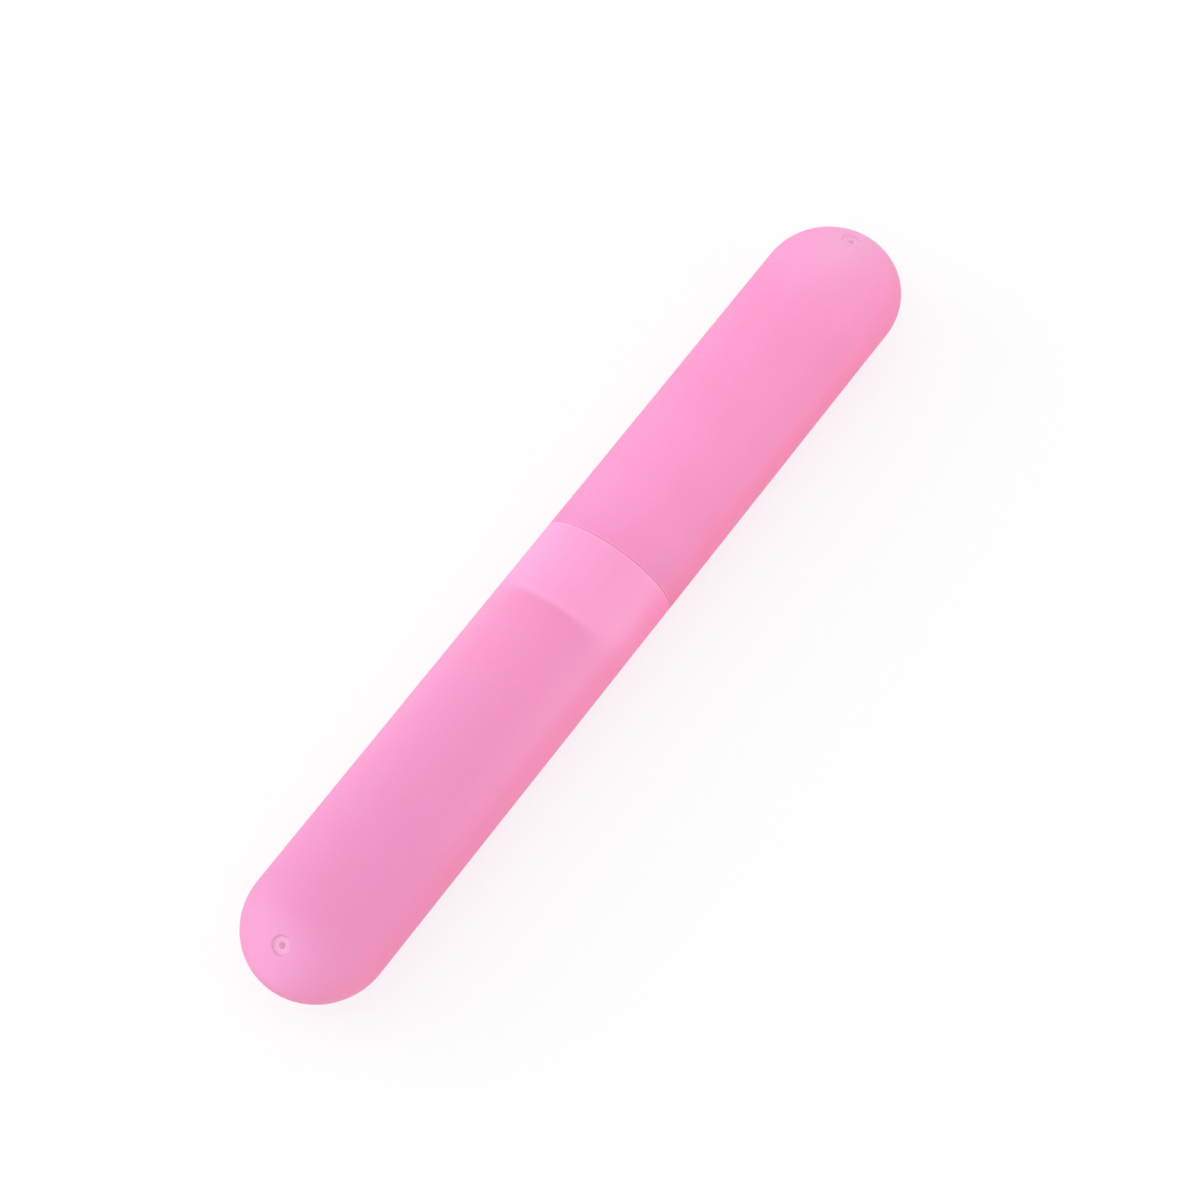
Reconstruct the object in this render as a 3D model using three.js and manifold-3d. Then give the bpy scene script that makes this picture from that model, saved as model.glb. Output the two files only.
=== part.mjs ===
// A travel toothbrush case: two moulded plastic half tubes of oval section with rounded ends.
// The body is the plain half. The cap has a thinner spigot that pushes into the body's mouth.
// Millimetres, +Z up, +X along the case towards the cap. The origin is under the middle of the closed case.
import * as THREE from "three";
import { mergeVertices } from "three/addons/utils/BufferGeometryUtils.js";
import Module from "manifold-3d";

const wasm = await Module();
wasm.setup();

// Outside of the closed case
const caseLength = 200;
const caseWidth = 30;
const caseHeight = 23;
const endLength = 15;

// Where the halves meet, from the body's tip, and the open line between them
const bodyLength = 108;
const seamGap = 0.2;
const rimChamfer = 0.25;

// Walls of the body and of the spigot, and the room left between the two
const bodyWall = 1;
const spigotWall = 0.9;
const fitClearance = 0.3;

// The spigot: its length past the seam, the taper that leads it in, and the low bead that grips the body
const spigotLength = 16.6;
const leadInLength = 1;
const leadInDepth = 0.4;
const beadFromEnd = 4;
const beadWidth = 2.4;
const beadCrown = 1;
const beadHeight = 0.2;

// The vent on the upper side of each rounded end: its place, its hole, and its recess with a flat floor
const ventFromTip = 6;
const ventDiameter = 1.4;
const recessDiameter = 4.4;
const recessFloorDiameter = 3.2;
const recessDepth = 0.6;

// Facets round the oval and along each rounded end, and round a vent
const ovalSides = 48;
const endSteps = 8;
const ventSides = 20;

// The frosted plastic: the body's pink is the cooler one
const bodyPink = 0xee94c3;
const capPink = 0xfe9dd0;
const frostRoughness = 0.55;

// The spigot fits inside the body's wall. The cap's inside runs straight on from the spigot's,
// so a moulding core can draw out.
const spigotInset = bodyWall + fitClearance;
const capWall = spigotInset + spigotWall;
const capLength = caseLength - bodyLength;

// Flats of each oval, not its corners, lie at the stated size, and one flat faces straight down to rest on.
const flatsToCorners = 1 / Math.cos(Math.PI / ovalSides);

// One oval station: its place along the case, and how far it lies inside the outer oval.
function station(along, inset) {
  return {
    along,
    halfWidth: caseWidth / 2 - inset,
    halfHeight: caseHeight / 2 - inset,
  };
}

// A rounded end as stations from its tip to its root. outward is -1 for the body's end and 1 for the cap's.
function roundedEnd(tip, outward, inset) {
  const length = endLength - inset;
  const root = tip - outward * endLength;
  const stations = [];
  for (let step = 0; step <= endSteps; step += 1) {
    const turn = (step / endSteps) * (Math.PI / 2);
    const share = Math.sin(turn);
    stations.push({
      along: root + outward * length * Math.cos(turn),
      halfWidth: (caseWidth / 2 - inset) * share,
      halfHeight: (caseHeight / 2 - inset) * share,
    });
  }
  return stations;
}

// Turns stations into a closed shell along X: a lathe whose rings are each squashed to their own oval.
function ovalShell(stations) {
  const corner = ({ along, halfWidth }) => new THREE.Vector2(halfWidth * flatsToCorners, along);
  const shell = new THREE.LatheGeometry(stations.map(corner), ovalSides, Math.PI / ovalSides);
  const position = shell.getAttribute("position");
  for (let vertex = 0; vertex < position.count; vertex += 1) {
    const { halfWidth, halfHeight } = stations[vertex % stations.length];
    const squash = halfWidth > 0 ? halfHeight / halfWidth : 1;
    position.setZ(vertex, position.getZ(vertex) * squash);
  }
  return shell.rotateZ(-Math.PI / 2);
}

// A geometry as a solid that can be cut, and back again.
function solidFrom(geometry) {
  const bare = geometry.clone();
  bare.deleteAttribute("normal");
  bare.deleteAttribute("uv");
  const merged = mergeVertices(bare);
  const vertProperties = new Float32Array(merged.getAttribute("position").array);
  const triVerts = new Uint32Array(merged.index.array);
  return new wasm.Manifold(new wasm.Mesh({ numProp: 3, vertProperties, triVerts }));
}

function geometryFrom(solid) {
  const { vertProperties, triVerts } = solid.getMesh();
  const geometry = new THREE.BufferGeometry();
  geometry.setAttribute("position", new THREE.BufferAttribute(new Float32Array(vertProperties), 3));
  geometry.setIndex(new THREE.BufferAttribute(new Uint32Array(triVerts), 1));
  geometry.computeVertexNormals();
  return geometry;
}

// The cut for one vent: a straight hole and a tapered recess, square to the rounded end's upper side.
// It runs past both faces of the wall.
function ventCut(tip, outward, wall) {
  const beyondRoot = endLength - ventFromTip;
  const height = (caseHeight / 2) * Math.sqrt(1 - (beyondRoot / endLength) ** 2);
  const place = new THREE.Vector3(tip - outward * ventFromTip, 0, height);
  const slopeAlong = (outward * beyondRoot) / endLength ** 2;
  const slopeUp = height / (caseHeight / 2) ** 2;
  const square = new THREE.Vector3(slopeAlong, 0, slopeUp).normalize();
  const below = -(wall + ventDiameter);
  const above = recessDepth;
  const profile = [
    new THREE.Vector2(0, below),
    new THREE.Vector2(ventDiameter / 2, below),
    new THREE.Vector2(ventDiameter / 2, -recessDepth),
    new THREE.Vector2(recessFloorDiameter / 2, -recessDepth),
    new THREE.Vector2(recessDiameter / 2, 0),
    new THREE.Vector2(recessDiameter / 2, above),
    new THREE.Vector2(0, above),
  ];
  const cut = new THREE.LatheGeometry(profile, ventSides);
  const turn = new THREE.Quaternion().setFromUnitVectors(new THREE.Vector3(0, 1, 0), square);
  return cut.applyQuaternion(turn).translate(place.x, place.y, place.z);
}

function ventedHalf(stations, cut) {
  const shell = solidFrom(ovalShell(stations));
  return geometryFrom(shell.subtract(solidFrom(cut)));
}

// The body, with its rim at 0: outside from the tip to the rim, then back along the inside.
function bodyGeometry() {
  const tip = -bodyLength;
  const outside = roundedEnd(tip, -1, 0);
  const rim = [
    station(-rimChamfer, 0),
    station(0, rimChamfer),
    station(0, bodyWall - rimChamfer),
    station(-rimChamfer, bodyWall),
  ];
  const inside = roundedEnd(tip, -1, bodyWall).reverse();
  const cut = ventCut(tip, -1, bodyWall);
  return ventedHalf([...outside, ...rim, ...inside], cut);
}

// The cap: inside from its tip to the spigot's free end, then back along spigot, bead, shoulder and outside.
function capGeometry() {
  const tip = capLength;
  const freeEnd = -spigotLength;
  const bead = freeEnd + beadFromEnd;
  const inside = roundedEnd(tip, 1, capWall);
  const spigot = [
    station(freeEnd, capWall),
    station(freeEnd, spigotInset + leadInDepth),
    station(freeEnd + leadInLength, spigotInset),
    station(bead - beadWidth / 2, spigotInset),
    station(bead - beadCrown / 2, spigotInset - beadHeight),
    station(bead + beadCrown / 2, spigotInset - beadHeight),
    station(bead + beadWidth / 2, spigotInset),
  ];
  const shoulder = [
    station(seamGap, spigotInset),
    station(seamGap, rimChamfer),
    station(seamGap + rimChamfer, 0),
  ];
  const outside = roundedEnd(tip, 1, 0).reverse();
  const cut = ventCut(tip, 1, capWall);
  return ventedHalf([...inside, ...spigot, ...shoulder, ...outside], cut);
}

function frostedPlastic(color) {
  return new THREE.MeshStandardMaterial({ color, roughness: frostRoughness, metalness: 0 });
}

const body = new THREE.Mesh(bodyGeometry(), frostedPlastic(bodyPink));
body.name = "case_body";

const cap = new THREE.Mesh(capGeometry(), frostedPlastic(capPink));
cap.name = "case_cap";

// Both halves are drawn about the seam on the case's axis, half the case's height above the ground.
const toothbrushCase = new THREE.Group();
toothbrushCase.position.set(bodyLength - caseLength / 2, 0, caseHeight / 2);
toothbrushCase.add(body, cap);

const part = new THREE.Group();
part.add(toothbrushCase);

export default part;
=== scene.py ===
import math

import bpy
import numpy as np
from mathutils import Matrix, Vector


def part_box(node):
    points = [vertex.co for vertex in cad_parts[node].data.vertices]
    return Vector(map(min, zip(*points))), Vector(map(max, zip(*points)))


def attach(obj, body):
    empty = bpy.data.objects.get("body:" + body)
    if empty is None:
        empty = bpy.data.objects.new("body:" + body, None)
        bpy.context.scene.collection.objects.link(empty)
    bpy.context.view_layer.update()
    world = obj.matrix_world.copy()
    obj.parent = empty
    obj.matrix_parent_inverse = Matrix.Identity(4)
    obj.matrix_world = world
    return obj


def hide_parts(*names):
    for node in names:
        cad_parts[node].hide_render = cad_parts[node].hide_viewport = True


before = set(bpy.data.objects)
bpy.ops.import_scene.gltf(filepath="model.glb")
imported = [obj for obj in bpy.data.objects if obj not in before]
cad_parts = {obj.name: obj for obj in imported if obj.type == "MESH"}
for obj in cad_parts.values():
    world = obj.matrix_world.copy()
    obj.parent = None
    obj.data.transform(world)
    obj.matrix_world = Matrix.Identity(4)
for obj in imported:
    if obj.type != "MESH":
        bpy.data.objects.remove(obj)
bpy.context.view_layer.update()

MM = 0.001

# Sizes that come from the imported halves: the body's tip and rim, the spigot's free end and the cap's tip
body_low, body_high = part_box("case_body")
cap_low, cap_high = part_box("case_cap")
BODY_TIP = body_low.x
BODY_RIM = body_high.x
SPIGOT_END = cap_low.x
CAP_TIP = cap_high.x
HALF_WIDTH = (body_high.y - body_low.y) / 2
HALF_HEIGHT = (body_high.z - body_low.z) / 2
AXIS_HEIGHT = (body_high.z + body_low.z) / 2

# Rounded ends, walls and fit, as the halves are moulded, with the seam as narrow as a closed case shows it
END_LENGTH = 15 * MM
SEAM_GAP = 0.08 * MM
EDGE_ROUND = 0.12 * MM
RIM_MARGIN = 3 * EDGE_ROUND
BODY_WALL = 1 * MM
SPIGOT_WALL = 0.9 * MM
FIT_CLEARANCE = 0.3 * MM
SPIGOT_INSET = BODY_WALL + FIT_CLEARANCE
CAP_WALL = SPIGOT_INSET + SPIGOT_WALL
LEAD_IN_LENGTH = 1 * MM
LEAD_IN_DEPTH = 0.4 * MM
LEAD_IN_HALFWAY = LEAD_IN_DEPTH / 3
BEAD_FROM_END = 4 * MM
BEAD_WIDTH = 2.4 * MM
BEAD_HEIGHT = 0.2 * MM

# The vent in each rounded end: a small hole in a recess with a soft wall and a flat floor
VENT_FROM_TIP = 6 * MM
VENT_RADIUS = 0.7 * MM
VENT_EDGE = 0.1 * MM
RECESS_RADIUS = 2.2 * MM
RECESS_FLOOR_RADIUS = 1.6 * MM
RECESS_DEPTH = 0.6 * MM
RECESS_MARGIN = 0.3 * MM

# How finely the halves are meshed, how closely and how far out a circle round a vent is searched for, and
# the sharpest corner that is shaded smooth
OVAL_POINTS = 176
TUBE_RINGS = 22
END_RINGS = 34
BEAD_STEPS = 8
RECESS_STEPS = 10
ROUND_STEPS = 4
HALVINGS = 40
WIDEST_SHARE = 0.6
SHARPEST_SMOOTH_ANGLE = math.radians(40)

ROUND_THE_OVAL = 2 * math.pi * np.arange(OVAL_POINTS) / OVAL_POINTS
QUARTER_TURN = np.linspace(0, math.pi / 2, ROUND_STEPS + 1)


def oval(along, inset):
    """One ring of points: the case's oval section at a place along it, set in from the outside."""
    across = (HALF_WIDTH - inset) * np.cos(ROUND_THE_OVAL)
    up = AXIS_HEIGHT + (HALF_HEIGHT - inset) * np.sin(ROUND_THE_OVAL)
    return np.column_stack([np.full(OVAL_POINTS, along), across, up])


def tube(start, end, inset):
    """Rings of a straight stretch, both ends included."""
    return [oval(along, inset) for along in np.linspace(start, end, TUBE_RINGS)]


def rounded_edge(along, inset, along_way, inset_way):
    """Rings that round a rim's corner, from its tube face to its end face.
    The ways, +1 or -1, lead into the plastic."""
    rings = []
    for turn in QUARTER_TURN:
        off_along = EDGE_ROUND * (1 - math.sin(turn))
        off_inset = EDGE_ROUND * (1 - math.cos(turn))
        rings.append(oval(along + along_way * off_along, inset + inset_way * off_inset))
    return rings


class VentLine:
    """The line that a vent is bored along, square to the outside of its rounded end."""

    def __init__(self, tip, outward):
        beyond_root = END_LENGTH - VENT_FROM_TIP
        rise = HALF_HEIGHT * math.sqrt(1 - (beyond_root / END_LENGTH) ** 2)
        self.point = np.array([tip - outward * VENT_FROM_TIP, 0, AXIS_HEIGHT + rise])
        slope = np.array([outward * beyond_root / END_LENGTH**2, 0, rise / HALF_HEIGHT**2])
        self.way = slope / np.linalg.norm(slope)

    def distance(self, points):
        """How far each point lies from the line."""
        away = points - self.point
        return np.linalg.norm(away - np.outer(away @ self.way, self.way), axis=1)


class RoundedEnd:
    """One surface of a rounded end, laid out as rays that run over it from the vent to its root."""

    def __init__(self, tip, outward, inset, vent):
        self.vent = vent
        self.centre = np.array([tip - outward * END_LENGTH, 0, AXIS_HEIGHT])
        self.size = np.array([outward * (END_LENGTH - inset), HALF_WIDTH - inset, HALF_HEIGHT - inset])
        start = (vent.point - self.centre) / self.size
        way = vent.way / self.size
        square, across = way @ way, start @ way
        travel = (-across + math.sqrt(across**2 - square * (start @ start - 1))) / square
        self.middle = start + travel * way
        self.root = np.column_stack([np.zeros(OVAL_POINTS), np.cos(ROUND_THE_OVAL), np.sin(ROUND_THE_OVAL)])
        self.swing = np.arccos(self.root @ self.middle)

    def points(self, share):
        """The point on each ray at its share of the way from the vent to the root."""
        near = np.sin((1 - share) * self.swing) / np.sin(self.swing)
        far = np.sin(share * self.swing) / np.sin(self.swing)
        return self.centre + self.size * (np.outer(near, self.middle) + far[:, None] * self.root)

    def share_at(self, radius):
        """Each ray's share where it crosses a circle of that radius round the vent."""
        low, high = np.zeros(OVAL_POINTS), np.full(OVAL_POINTS, WIDEST_SHARE)
        for _ in range(HALVINGS):
            share = (low + high) / 2
            within = self.vent.distance(self.points(share)) < radius
            low, high = np.where(within, share, low), np.where(within, high, share)
        return low

    def circle(self, radius, depth):
        """A ring round the vent, sunk below the surface by depth."""
        return self.points(self.share_at(radius)) - depth * self.vent.way

    def spread(self, radius):
        """Rings from a circle round the vent out to the root, which is left to the straight stretch."""
        first = self.share_at(radius)
        return [self.points(first + (1 - first) * ring / END_RINGS) for ring in range(END_RINGS)]


def eased(share):
    """A share from 0 to 1 made level at both ends."""
    return share**2 * (3 - 2 * share)


def recess_rings(outside):
    """Rings down the recess's soft wall, over its floor and round the vent's edge."""
    rings = []
    for share in np.linspace(0, 1, RECESS_STEPS + 1):
        radius = RECESS_RADIUS + (RECESS_FLOOR_RADIUS - RECESS_RADIUS) * share
        rings.append(outside.circle(radius, RECESS_DEPTH * eased(share)))
    for turn in QUARTER_TURN:
        radius = VENT_RADIUS + VENT_EDGE * (1 - math.sin(turn))
        rings.append(outside.circle(radius, RECESS_DEPTH + VENT_EDGE * (1 - math.cos(turn))))
    return rings


def vented_end(tip, outward, wall, vent):
    """Rings over a rounded end: in from its root to the vent, down the hole, and out over its inside."""
    outside = RoundedEnd(tip, outward, 0, vent)
    inside = RoundedEnd(tip, outward, wall, vent)
    rings = outside.spread(RECESS_RADIUS + RECESS_MARGIN)[::-1]
    rings += recess_rings(outside)
    for turn in QUARTER_TURN:
        radius = VENT_RADIUS + VENT_EDGE * (1 - math.cos(turn))
        rings.append(inside.circle(radius, VENT_EDGE * (math.sin(turn) - 1)))
    rings += inside.spread(VENT_RADIUS + RECESS_MARGIN)
    return rings


def body_rings(vent):
    """The body's rings, round its rim and along the inside to the vent, then back along the outside."""
    root = BODY_TIP + END_LENGTH
    rings = tube(BODY_RIM - RIM_MARGIN, root, 0)
    rings += vented_end(BODY_TIP, -1, BODY_WALL, vent)
    rings += tube(root, BODY_RIM - RIM_MARGIN, BODY_WALL)
    rings += rounded_edge(BODY_RIM, BODY_WALL, -1, -1)
    rings += rounded_edge(BODY_RIM, 0, -1, 1)[::-1]
    return rings[::-1]


def bead_rings():
    """The low, rounded bead round the spigot, from its free side to the shoulder's side."""
    start = SPIGOT_END + BEAD_FROM_END - BEAD_WIDTH / 2
    rings = []
    for share in np.linspace(0, 1, BEAD_STEPS + 1):
        height = BEAD_HEIGHT * math.sin(share * math.pi) ** 2
        rings.append(oval(start + BEAD_WIDTH * share, SPIGOT_INSET - height))
    return rings


def cap_rings(vent):
    """The cap's rings, from its shoulder along the outside to the vent, back inside, and round the spigot."""
    root = CAP_TIP - END_LENGTH
    shoulder = BODY_RIM + SEAM_GAP
    rings = tube(shoulder + RIM_MARGIN, root, 0)
    rings += vented_end(CAP_TIP, 1, CAP_WALL, vent)
    rings += tube(root, SPIGOT_END + RIM_MARGIN, CAP_WALL)
    rings += rounded_edge(SPIGOT_END, CAP_WALL, 1, -1)
    rings += [
        oval(SPIGOT_END, SPIGOT_INSET + LEAD_IN_DEPTH),
        oval(SPIGOT_END + LEAD_IN_LENGTH / 2, SPIGOT_INSET + LEAD_IN_HALFWAY),
        oval(SPIGOT_END + LEAD_IN_LENGTH, SPIGOT_INSET),
    ]
    rings += bead_rings()
    rings += tube(SPIGOT_END + BEAD_FROM_END + BEAD_WIDTH, shoulder, SPIGOT_INSET)
    rings += rounded_edge(shoulder, 0, 1, 1)[::-1]
    return rings


def half_from_rings(name, rings):
    """Joins rings of points, each to the next and the last to the first, into one closed half of the case.
    Rings on the outside come in the order of +X, so that the faces point out."""
    starts = OVAL_POINTS * np.arange(len(rings))
    faces = []
    for start, following in zip(starts.tolist(), np.roll(starts, -1).tolist()):
        for side in range(OVAL_POINTS):
            beside = (side + 1) % OVAL_POINTS
            faces.append((start + side, start + beside, following + beside, following + side))
    mesh = bpy.data.meshes.new(name)
    mesh.from_pydata(np.concatenate(rings).tolist(), [], faces)
    mesh.validate()
    mesh.shade_smooth()
    mesh.set_sharp_from_angle(angle=SHARPEST_SMOOTH_ANGLE)
    half = bpy.data.objects.new(name, mesh)
    bpy.context.scene.collection.objects.link(half)
    return half


# The Mix node's sockets for colours, and the middle value of noise
MIX_FACTOR = 0
MIX_LOW = 6
MIX_HIGH = 7
MIX_RESULT = 2
NOISE_MIDDLE = 0.5


class Signal:
    """A shader socket that Python's operators work on, and the way to add any other node."""

    def __init__(self, tree, socket=None):
        self.tree = tree
        self.socket = socket

    def node(self, kind, settings=None, inputs=None, output=0):
        """Adds a node. Its settings are set first, and then each input gets its value or link."""
        made = self.tree.nodes.new(kind)
        for name, value in (settings or {}).items():
            setattr(made, name, value)
        for name, value in (inputs or {}).items():
            self.feed(made.inputs[name], value)
        return Signal(self.tree, made.outputs[output]) if made.outputs else None

    def feed(self, entry, value):
        """Gives an input a link, or its own value in the form that it takes."""
        if isinstance(value, Signal):
            self.tree.links.new(value.socket, entry)
        elif entry.type == "RGBA":
            entry.default_value = (*value, 1)
        else:
            entry.default_value = value

    def output(self, name):
        """Another output of the node that this one comes from."""
        return Signal(self.tree, self.socket.node.outputs[name])

    def maths(self, operation, first, second):
        """A Math node, or Vector Math where a colour or a vector is among the two."""
        kinds = [value.socket.type for value in (first, second) if isinstance(value, Signal)]
        kind = "ShaderNodeMath" if set(kinds) == {"VALUE"} else "ShaderNodeVectorMath"
        return self.node(kind, {"operation": operation}, {0: first, 1: second})

    def __add__(self, other):
        return self.maths("ADD", self, other)

    def __radd__(self, other):
        return self.maths("ADD", other, self)

    def __sub__(self, other):
        return self.maths("SUBTRACT", self, other)

    def __rsub__(self, other):
        return self.maths("SUBTRACT", other, self)

    def __mul__(self, other):
        return self.maths("MULTIPLY", self, other)

    def __rmul__(self, other):
        return self.maths("MULTIPLY", other, self)

    def __truediv__(self, other):
        return self.maths("DIVIDE", self, other)

    def __rtruediv__(self, other):
        return self.maths("DIVIDE", other, self)

    def __abs__(self):
        return self.maths("ABSOLUTE", self, 0)

    def at_least(self, least):
        """This value, or least where that is greater."""
        return self.maths("MAXIMUM", self, least)

    def band(self, low, high):
        """0 at low and 1 at high, with a smooth step between. low may be the greater."""
        settings = {"interpolation_type": "SMOOTHSTEP"}
        return self.node("ShaderNodeMapRange", settings, {"Value": self, "From Min": low, "From Max": high})

    def pick(self, low, high):
        """A colour that goes from low to high as this value goes from 0 to 1."""
        settings = {"data_type": "RGBA", "clamp_factor": True}
        inputs = {MIX_FACTOR: self, MIX_LOW: low, MIX_HIGH: high}
        return self.node("ShaderNodeMix", settings, inputs, output=MIX_RESULT)

    def pick_shader(self, low, high):
        """A shader that goes from low to high as this value goes from 0 to 1."""
        return self.node("ShaderNodeMixShader", None, {0: self, 1: low, 2: high})

    def noise(self, scale):
        """Noise at these coordinates, from 0 to 1, with lumps of 1 / scale metres."""
        return self.node("ShaderNodeTexNoise", None, {"Vector": self, "Scale": scale})


def new_sheet(owner):
    """An owner's emptied node tree, as a Signal with no socket."""
    owner.use_nodes = True
    owner.node_tree.nodes.clear()
    return Signal(owner.node_tree)


# Each stretch's pinks, where the pigment looks palest and deepest, and the share of the light that goes
# through it. The body's pinks change along its straight stretch to the near ones, next to its mouth: these
# are painted lighter, as painted light that falls more strongly there. The mouth's pinks are paler still, as
# painted light from the spigot that shows through the wall.
BODY_PINK = (0.85, 0.278, 0.607)
BODY_DEEP = (0.91, 0.22, 0.45)
BODY_CLEARNESS = 0.44
NEAR_LIT_PINK = (0.94, 0.322, 0.637)
NEAR_LIT_DEEP = (0.985, 0.275, 0.525)
NEAR_CLEARNESS = 0.34
MOUTH_LIT_PINK = (0.985, 0.37, 0.702)
MOUTH_LIT_DEEP = (0.985, 0.265, 0.53)
MOUTH_CLEARNESS = 0.15
CAP_PINK = (0.985, 0.365, 0.716)
CAP_DEEP = (0.94, 0.25, 0.475)
CAP_CLEARNESS = 0.35
SPIGOT_PINK = (0.985, 0.5, 0.77)
SPIGOT_CLEARNESS = 0.25

# The pinks of the flanks' painted sheen and shade, the ends' tops' painted sheen, worn edges and the painted
# highlight along the mouth's edge, the insides and the insides of the ends with their vents, painted paler as
# the light that glows through the walls, the painted shade on the walls of the vents' recesses, and specks
BODY_FLANK_SHEEN_PINK = (0.985, 0.46, 0.74)
CAP_FLANK_SHADE_PINK = (0.78, 0.28, 0.56)
BODY_END_SHEEN_PINK = (0.985, 0.352, 0.72)
CAP_END_SHEEN_PINK = (0.985, 0.46, 0.78)
WORN_AND_HIGHLIGHT_PINK = (0.985, 0.66, 0.86)
BODY_INSIDE_GLOW_PINK = (0.985, 0.68, 0.85)
BODY_VENT_GLOW_PINK = (0.985, 0.82, 0.92)
CAP_INSIDE_GLOW_PINK = (0.985, 0.52, 0.78)
CAP_VENT_GLOW_PINK = (0.97, 0.68, 0.82)
SHADE_PINK = (0.6, 0.15, 0.38)
SPECK_PINK = (0.72, 0.2, 0.43)

# The colour of the light that passes through each half
BODY_THROUGH = (0.98, 0.92, 0.97)
CAP_THROUGH = (0.98, 0.9, 0.96)

# Pigment: where on the oval's height it is painted deepest, at the sides, as painted shade and the deeper
# pink of light that passes through the plastic at its edges, how far clouds and flow marks change its depth,
# where on that height the flanks have a painted sheen or shade of their own, and how much of it shows
PAINTED_SIDES_FROM = 0.85
PAINTED_SIDES_FULL = 0.0
PAINTED_SIDES_SHARE = 0.8
CLOUD_SCALE = 70.0
CLOUD_SHARE = 0.5
FLOW_SCALE = 300.0
FLOW_STRETCH = (0.1, 1.0, 1.0)
FLOW_SHARE = 0.45
EVEN_DEPTH = 0.1
FLANK_MIDDLE = 0.6
FLANK_REACH = 0.3
FLANK_SHARE = 0.3
SPECK_SCALE = 140.0
SPECK_SIZE = 0.03
SPECK_FROM = 0.95
SPECK_FULL = 0.96

# How deep under the outside the pigment gives way to the paler inside, painted paler as the light that glows
# through the walls, how much deeper on the cap's straight stretch, past the spigot's outer face, how far
# along a rounded end the inside is palest, how deep the vents' walls lie, and how much of their painted shade
# shows.
# Depth is 0 on the outside and 1 on the axis, by the squared share of the way out.
SKIN_FROM = 0.065
SKIN_TO = 0.14
SPIGOT_DEPTH = 0.15
LINING_FULL = 0.5
WALL_MIDDLE = 0.045
WALL_REACH = 0.045
WALL_FROM_ROOT = 0.1
BODY_WALL_SHARE = 0.7
CAP_WALL_SHARE = 0.15

# The rounded ends are painted palest on top, as a painted sheen where the light falls on them: where that
# starts and is full, as shares of the end's length past its root, the share of the half width where it is
# lost, and the shares of the half height where it starts and is full
BODY_END_FROM = 0.0
BODY_END_FULL = 0.75
CAP_END_FROM = -1.0
CAP_END_FULL = 0.4
END_SIDE = 0.9
END_UNDER = -0.1
END_OVER = 0.4

# Frosting: lump size and height of the fine grain and of the slight waves under it, and the satin's roughness
GRAIN_SCALE = 2600.0
GRAIN_HEIGHT = 0.012 * MM
WAVE_SCALE = 230.0
WAVE_HEIGHT = 0.05 * MM
SATIN = 0.44
SATIN_RANGE = 0.14
PLASTIC_IOR = 1.49


def shares_of_oval(place):
    """How far along a point lies, and its places across and up as shares of the oval's half sizes."""
    axes = place.node("ShaderNodeSeparateXYZ", None, {0: place})
    across = axes.output("Y") / HALF_WIDTH
    up = (axes.output("Z") - AXIS_HEIGHT) / HALF_HEIGHT
    return axes.output("X"), across, up


def pigment(place, palest, deepest):
    """A moulding's pink: cloudy, drawn out where the melt flowed, painted deeper at the sides as painted
    shade and light through the plastic at its edges, with odd specks.
    """
    _, _, up = shares_of_oval(place)
    # Painted shade: deeper at the sides, standing in for the light that passes through the plastic at its
    # edges
    sides = abs(up).band(PAINTED_SIDES_FROM, PAINTED_SIDES_FULL)
    cloud = place.noise(CLOUD_SCALE) - NOISE_MIDDLE
    flow = (place * FLOW_STRETCH).noise(FLOW_SCALE) - NOISE_MIDDLE
    depth = EVEN_DEPTH + PAINTED_SIDES_SHARE * sides + CLOUD_SHARE * cloud + FLOW_SHARE * flow
    cells = place.node("ShaderNodeTexVoronoi", None, {"Vector": place, "Scale": SPECK_SCALE})
    draw = cells.node("ShaderNodeSeparateColor", None, {0: cells.output("Color")})
    speck = cells.band(SPECK_SIZE, SPECK_SIZE / 2) * draw.band(SPECK_FROM, SPECK_FULL)
    return speck.pick(depth.pick(palest, deepest), SPECK_PINK)


def flank(up):
    """1 on a streak along each flank of the oval, above and below its sides, and 0 away from it: where the
    flanks' painted sheen or painted shade goes.
    """
    return abs(abs(up) - FLANK_MIDDLE).band(FLANK_REACH, 0)


def share_of_end(along, tip, outward):
    """How far along a rounded end a point lies: 0 at the end's root and 1 at its tip."""
    root = tip - outward * END_LENGTH
    return outward * (along - root) / END_LENGTH


def depth_and_end(place, tip, outward):
    """How deep under the outside of a half a point lies, and how far along the half's rounded end."""
    along, across, up = shares_of_oval(place)
    end = share_of_end(along, tip, outward)
    beyond = end.at_least(0)
    return 1 - (beyond * beyond + across * across + up * up), end


def vent_wall(depth, end):
    """1 on the wall of the recess in a rounded end, and 0 away from it."""
    return abs(depth - WALL_MIDDLE).band(WALL_REACH, 0) * end.band(0, WALL_FROM_ROOT)


def end_sheen(place, tip, outward, start, full):
    """1 on top of a rounded end, where a painted sheen makes it look palest, fading to 0 at its start, its
    sides and below.
    """
    along, across, up = shares_of_oval(place)
    top = abs(across).band(END_SIDE, 0) * up.band(END_UNDER, END_OVER)
    return share_of_end(along, tip, outward).band(start, full) * top


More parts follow.
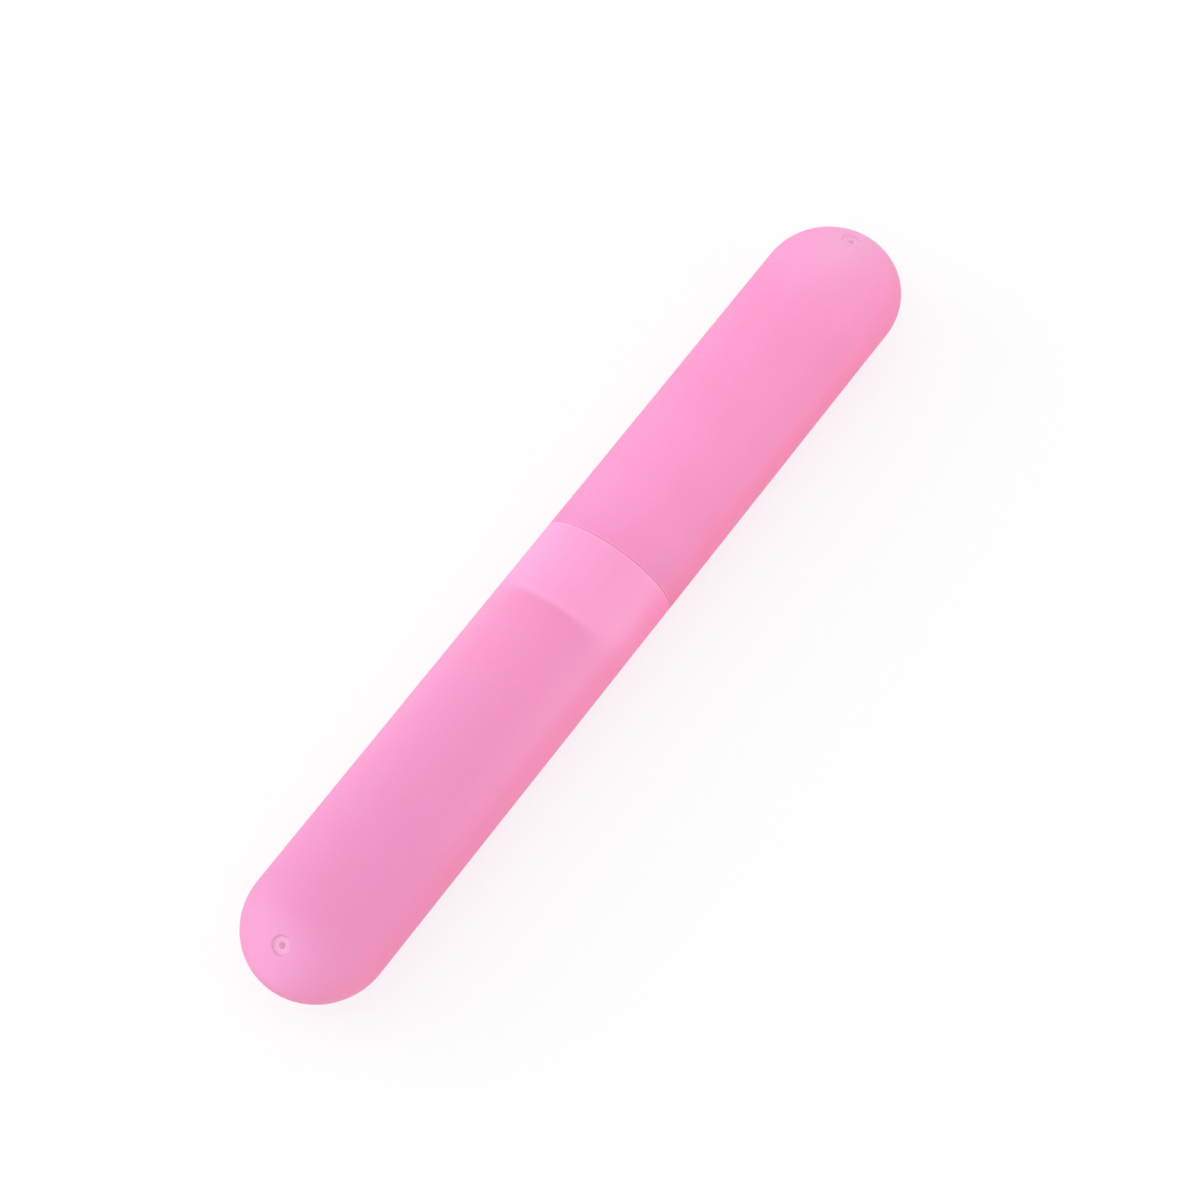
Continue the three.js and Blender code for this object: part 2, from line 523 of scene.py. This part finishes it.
# The body's mouth, painted paler over the spigot as painted light from the spigot showing through the wall:
# where its edge shows outside the spigot's end, how soft the edge is on the crown and at the sides, where its
# blur starts and ends in lengths of that blur, how much of the painted paleness is left at the sides, where
# on the oval's height these change, the faint painted highlight along the edge, where the spigot's end
# catches the light, and the wear of the rims
MOUTH_EDGE = SPIGOT_END - 0.4 * MM
MOUTH_BLUR = 2 * MM
MOUTH_SIDE_BLUR = 9 * MM
BLUR_START = -0.5
BLUR_END = 0.5
MOUTH_SIDE_SHARE = 0.75
FLANK_TOP = 0.5
CROWN_FROM = 0.6
CROWN_FULL = 0.95
EDGE_HIGHLIGHT_REACH = 1 * MM
EDGE_HIGHLIGHT_SHARE = 0.08
WEAR_REACH = 0.7 * MM
BODY_WEAR = 0.2
CAP_WEAR = 0.1


def body_finish(place):
    """The body's colour and clearness. Its mouth is painted paler over the spigot, as painted light from the
    spigot seen through the wall, with a soft edge at the sides. From its rounded end to its mouth the pink is
    painted lighter and warmer, as painted light, and its flanks get a paler painted sheen."""
    along, _, up = shares_of_oval(place)
    crown = abs(up).band(CROWN_FROM, CROWN_FULL)
    blur = MOUTH_SIDE_BLUR + (MOUTH_BLUR - MOUTH_SIDE_BLUR) * crown
    past_edge = along - MOUTH_EDGE
    painted_paleness = MOUTH_SIDE_SHARE + (1 - MOUTH_SIDE_SHARE) * abs(up).band(0, FLANK_TOP)
    # Painted light: the mouth is painted paler where the spigot's light shows through the wall
    mouth = (past_edge / blur).band(BLUR_START, BLUR_END) * painted_paleness
    # Painted highlight: a faint line where the spigot's end catches the light through the wall
    line = abs(past_edge - MOUTH_BLUR / 2).band(EDGE_HIGHLIGHT_REACH, 0)
    worn = along.band(BODY_RIM - WEAR_REACH, BODY_RIM)
    # Painted light: the body is painted lighter towards its mouth, where the light falls more strongly
    near = along.band(BODY_TIP + END_LENGTH, MOUTH_EDGE)
    palest = mouth.pick(near.pick(BODY_PINK, NEAR_LIT_PINK), MOUTH_LIT_PINK)
    deepest = mouth.pick(near.pick(BODY_DEEP, NEAR_LIT_DEEP), MOUTH_LIT_DEEP)
    colour = pigment(place, palest, deepest)
    # Painted sheen: a paler streak along the body's flanks, where light falls on them
    colour = (FLANK_SHARE * flank(up) * near).pick(colour, BODY_FLANK_SHEEN_PINK)
    # Painted sheen on top of the body's rounded end
    top = end_sheen(place, BODY_TIP, -1, BODY_END_FROM, BODY_END_FULL)
    colour = top.pick(colour, BODY_END_SHEEN_PINK)
    # The same pale pink paints the highlight along the mouth's edge and the real wear of the rim
    colour = (EDGE_HIGHLIGHT_SHARE * line * crown + BODY_WEAR * worn).pick(colour, WORN_AND_HIGHLIGHT_PINK)
    depth, end = depth_and_end(place, BODY_TIP, -1)
    colour = (BODY_WALL_SHARE * vent_wall(depth, end)).pick(colour, SHADE_PINK)
    # Painted light: the inside, with the vent's floor and hole, is painted paler, as light glowing through
    # the thin walls
    inside_glow = end.band(0, LINING_FULL).pick(BODY_INSIDE_GLOW_PINK, BODY_VENT_GLOW_PINK)
    colour = depth.band(SKIN_FROM, SKIN_TO).pick(colour, inside_glow)
    clearness = BODY_CLEARNESS + (NEAR_CLEARNESS - BODY_CLEARNESS) * near
    return colour, clearness + (MOUTH_CLEARNESS - clearness) * mouth


# Streaks along the spigot, where it rubs in the body's mouth
RUB_STRETCH = (0.03, 1.0, 1.0)
RUB_SCALE = 900.0
RUB_FROM = 0.5
RUB_FULL = 0.7
RUB_SHARE = 0.4


def cap_finish(place):
    """The cap's colour and clearness. Its spigot is paler, and streaked where it rubs in the body's mouth.
    Its flanks are painted deeper, as painted shade, up to its rounded end."""
    along, _, up = shares_of_oval(place)
    depth, end = depth_and_end(place, CAP_TIP, 1)
    shoulder = BODY_RIM + SEAM_GAP
    spigot = along.band(shoulder, BODY_RIM)
    worn = along.band(shoulder + WEAR_REACH, shoulder)
    streak = (place * RUB_STRETCH).noise(RUB_SCALE).band(RUB_FROM, RUB_FULL)
    rubbed = (RUB_SHARE * streak).pick(SPIGOT_PINK, WORN_AND_HIGHLIGHT_PINK)
    before_end = end.band(CAP_END_FULL, CAP_END_FROM)
    colour = pigment(place, CAP_PINK, CAP_DEEP)
    # Painted shade: a deeper streak along the cap's flanks
    colour = (FLANK_SHARE * flank(up) * before_end).pick(colour, CAP_FLANK_SHADE_PINK)
    # Painted sheen on top of the cap's rounded end
    top = end_sheen(place, CAP_TIP, 1, CAP_END_FROM, CAP_END_FULL)
    colour = top.pick(colour, CAP_END_SHEEN_PINK)
    colour = (CAP_WEAR * worn).pick(colour, WORN_AND_HIGHLIGHT_PINK)
    colour = spigot.pick(colour, rubbed)
    colour = (CAP_WALL_SHARE * vent_wall(depth, end)).pick(colour, SHADE_PINK)
    # Painted light: the inside, with the vent's floor and hole, is painted paler, as light glowing through
    # the walls
    inside_glow = end.band(0, LINING_FULL).pick(CAP_INSIDE_GLOW_PINK, CAP_VENT_GLOW_PINK)
    inside = (depth - SPIGOT_DEPTH * end.band(WALL_FROM_ROOT, 0)).band(SKIN_FROM, SKIN_TO)
    colour = inside.pick(colour, inside_glow)
    return colour, CAP_CLEARNESS + (SPIGOT_CLEARNESS - CAP_CLEARNESS) * spigot


def frosted_plastic(name, finish, through):
    """Frosted moulded plastic: a satin surface that also lets part of the light through.
    finish gives its colour and clearness, and through is the colour of the light that passes."""
    material = bpy.data.materials.new(name)
    sheet = new_sheet(material)
    place = sheet.node("ShaderNodeTexCoord").output("Object")
    colour, clearness = finish(place)
    height = GRAIN_HEIGHT * place.noise(GRAIN_SCALE) + WAVE_HEIGHT * place.noise(WAVE_SCALE)
    bump = sheet.node("ShaderNodeBump", None, {"Strength": 1.0, "Distance": 1.0, "Height": height})
    satin = sheet.node("ShaderNodeBsdfPrincipled", None, {
        "Base Color": colour,
        "Roughness": SATIN + SATIN_RANGE * place.noise(CLOUD_SCALE),
        "IOR": PLASTIC_IOR,
        "Normal": bump,
    })
    glow = sheet.node("ShaderNodeBsdfTranslucent", None, {"Color": through, "Normal": bump})
    sheet.node("ShaderNodeOutputMaterial", None, {"Surface": clearness.pick_shader(satin, glow)})
    return material


def add_half(name, rings, plastic, body, node):
    """One half of the case, in place of its solid."""
    half = half_from_rings(name, rings)
    half.data.materials.append(plastic)
    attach(half, body)
    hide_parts(node)


# Light on the case, the floor and the surround, and two round soft lamps in metres: a cool one behind the
# case and a small warm one in front
WORLD_LIGHT = (1.0, 0.985, 0.95)
FLOOR_PAINT = (0.92, 0.93, 0.95)
FLOOR_REACH = 3.0
FLOOR_WHITE_SHARE = 0.75
WHITE = (1.0, 1.0, 1.0)
KEY_PLACE = (-0.26, 0.81, 0.3)
KEY_SIZE = 0.8
KEY_COLOUR = (0.8, 0.94, 1.0)
KEY_POWER = 3.4
FILL_PLACE = (0.2, -0.6, 0.12)
FILL_SIZE = 0.4
FILL_COLOUR = (1.0, 0.78, 0.62)
FILL_POWER = 0.4
BOUNCES = 12


def seen_straight(sheet):
    """1 for what the camera, a reflection or clear plastic shows, and 0 for light that falls on things."""
    path = sheet.node("ShaderNodeLightPath")
    return path.output("Is Camera Ray") + path.output("Is Glossy Ray") + path.output("Is Transmission Ray")


def white_world():
    """A surround that looks white and lights the case a little warmer."""
    world = bpy.data.worlds.new("white_surround")
    bpy.context.scene.world = world
    sheet = new_sheet(world)
    light = sheet.node("ShaderNodeBackground", None, {"Color": WORLD_LIGHT})
    white = sheet.node("ShaderNodeBackground", None, {"Color": WHITE})
    both = seen_straight(sheet).pick_shader(light, white)
    sheet.node("ShaderNodeOutputWorld", None, {"Surface": both})


def pale_floor():
    """A plain floor that takes the case's shadow and is mixed with white where it is seen."""
    mesh = bpy.data.meshes.new("floor")
    corners = [(-1, -1), (1, -1), (1, 1), (-1, 1)]
    mesh.from_pydata([(x * FLOOR_REACH, y * FLOOR_REACH, 0) for x, y in corners], [], [(0, 1, 2, 3)])
    floor = bpy.data.objects.new("floor", mesh)
    bpy.context.scene.collection.objects.link(floor)
    material = bpy.data.materials.new("pale_floor")
    sheet = new_sheet(material)
    paint = sheet.node("ShaderNodeBsdfDiffuse", None, {"Color": FLOOR_PAINT})
    white = sheet.node("ShaderNodeEmission", None, {"Color": WHITE})
    both = (FLOOR_WHITE_SHARE * seen_straight(sheet)).pick_shader(paint, white)
    sheet.node("ShaderNodeOutputMaterial", None, {"Surface": both})
    mesh.materials.append(material)


def softbox(name, place, size, power, colour):
    """A round soft lamp that faces the case."""
    lamp = bpy.data.lights.new(name, "AREA")
    lamp.shape = "DISK"
    lamp.size = size
    lamp.energy = power
    lamp.color = colour
    box = bpy.data.objects.new(name, lamp)
    box.location = place
    aim = Vector((0, 0, AXIS_HEIGHT)) - Vector(place)
    box.rotation_euler = aim.to_track_quat("-Z", "Y").to_euler()
    bpy.context.scene.collection.objects.link(box)


# The camera: the way it looks, its tilt, how far off it stands and the point of the case that it looks at
CAMERA_AZIMUTH = math.radians(-44.157)
CAMERA_ELEVATION = math.radians(61.687)
CAMERA_ROLL = math.radians(-10.7045)
CAMERA_DISTANCE = 652.34 * MM
CAMERA_AIM = Vector((1.436 * MM, -2.754 * MM, AXIS_HEIGHT - 0.525 * MM))
CAMERA_LENS = 98.817


def photo_camera():
    """The camera, at the photo's angle."""
    right = Vector((math.cos(CAMERA_AZIMUTH), math.sin(CAMERA_AZIMUTH), 0))
    level_back = Vector((math.sin(CAMERA_AZIMUTH), -math.cos(CAMERA_AZIMUTH), 0))
    back = math.cos(CAMERA_ELEVATION) * level_back
    back.z = math.sin(CAMERA_ELEVATION)
    turn = Matrix((right, back.cross(right), back)).transposed().to_4x4()
    camera = bpy.data.objects.new("camera", bpy.data.cameras.new("camera"))
    camera.data.lens = CAMERA_LENS
    place = Matrix.Translation(CAMERA_AIM + CAMERA_DISTANCE * back)
    camera.matrix_world = place @ turn @ Matrix.Rotation(CAMERA_ROLL, 4, "Z")
    bpy.context.scene.collection.objects.link(camera)
    bpy.context.scene.camera = camera


body_vent = VentLine(BODY_TIP, -1)
cap_vent = VentLine(CAP_TIP, 1)
body_plastic = frosted_plastic("body_plastic", body_finish, BODY_THROUGH)
cap_plastic = frosted_plastic("cap_plastic", cap_finish, CAP_THROUGH)
add_half("body_shell", body_rings(body_vent), body_plastic, "body_half", "case_body")
add_half("cap_shell", cap_rings(cap_vent), cap_plastic, "cap_half", "case_cap")

white_world()
pale_floor()
softbox("key", KEY_PLACE, KEY_SIZE, KEY_POWER, KEY_COLOUR)
softbox("fill", FILL_PLACE, FILL_SIZE, FILL_POWER, FILL_COLOUR)
photo_camera()
bpy.context.scene.view_settings.view_transform = "Standard"
bpy.context.scene.cycles.max_bounces = 2 * BOUNCES
bpy.context.scene.cycles.diffuse_bounces = BOUNCES
